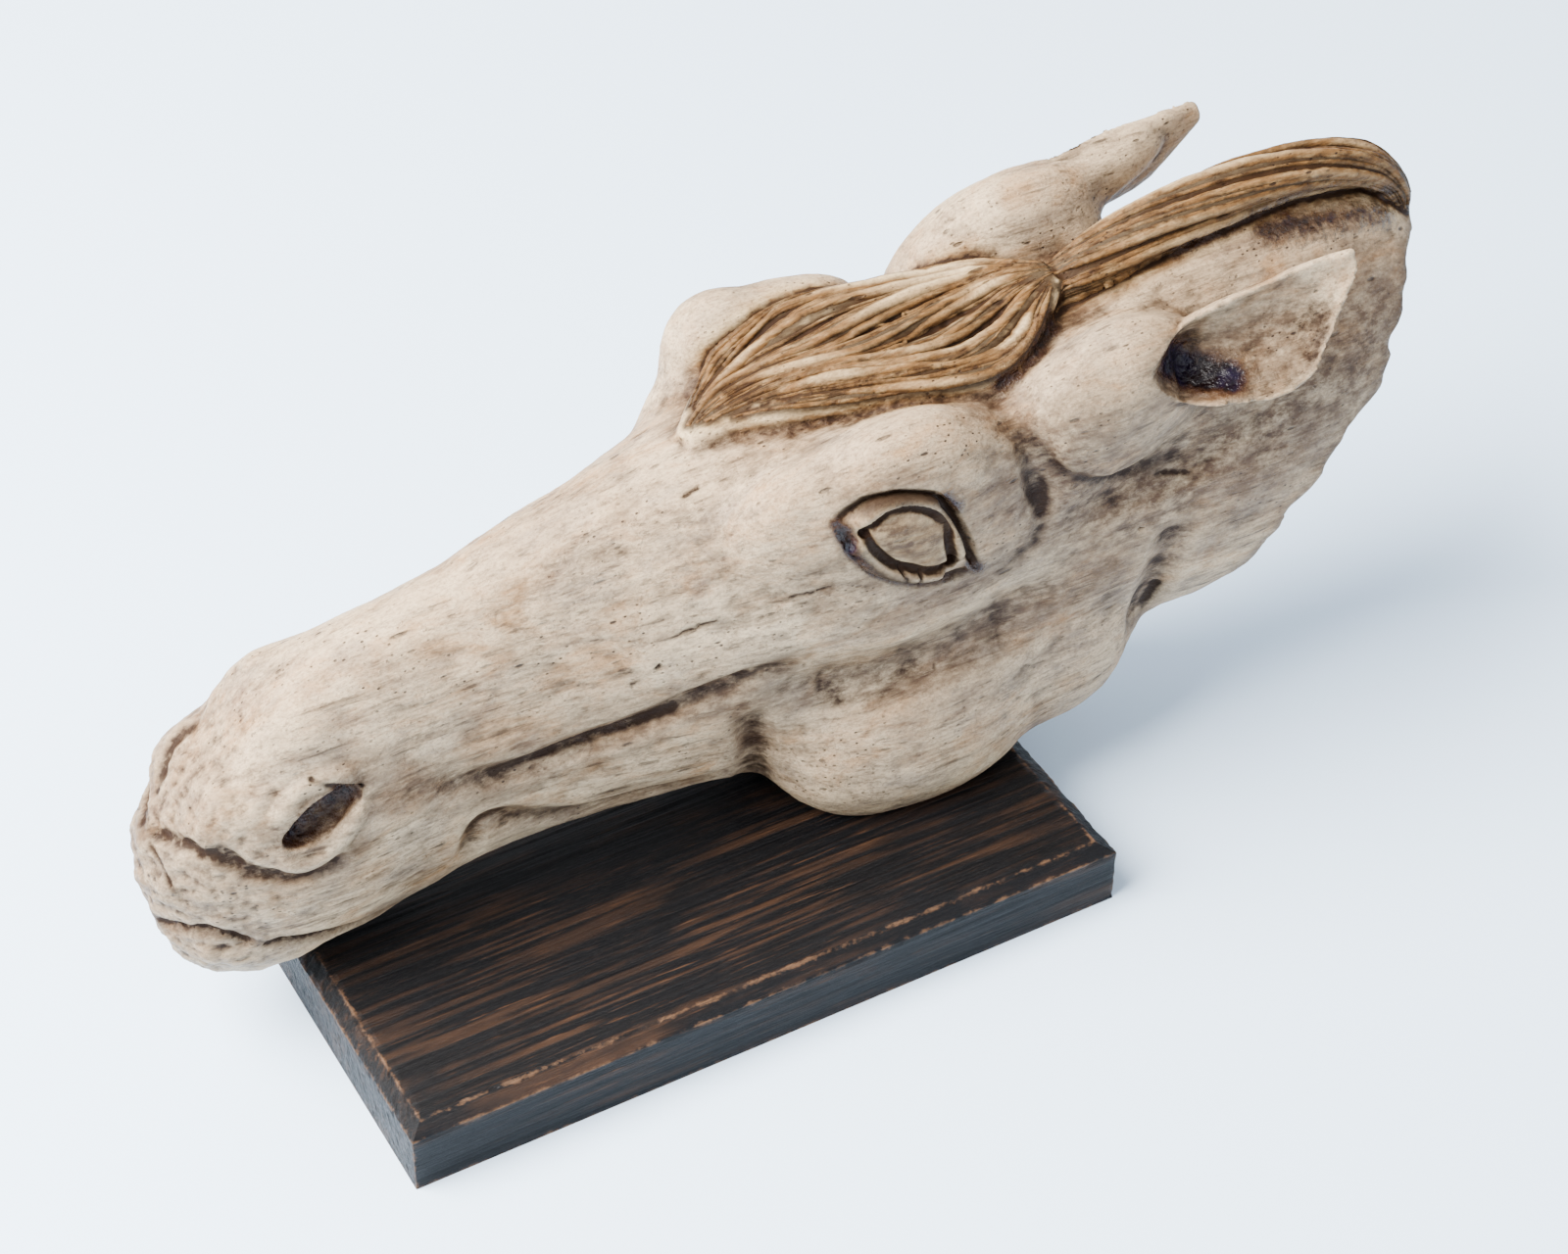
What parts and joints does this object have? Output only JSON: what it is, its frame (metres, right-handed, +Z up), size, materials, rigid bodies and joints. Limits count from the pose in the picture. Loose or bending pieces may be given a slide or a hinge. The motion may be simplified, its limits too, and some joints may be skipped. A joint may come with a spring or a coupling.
{
  "type": "ceramic horse head sculpture",
  "caption": "Hollow ceramic horse head with laid back ears, forelock and torn neck, lying on a bevelled dark wooden board",
  "frame": {"origin": "middle of the board's underside", "axes": "+Z up, +X from the muzzle to the neck along the board, -Y towards the horse's left side"},
  "size_m": [0.471, 0.19, 0.2103],
  "materials": {
    "ceramic": "matt bone coloured clay with brown stain in the hollows",
    "stained_wood": "satin dark stain rubbed through along the grain"
  },
  "bodies": {
    "root": {"horse_head": "ceramic", "plinth": "stained_wood"}
  },
  "joints": []
}
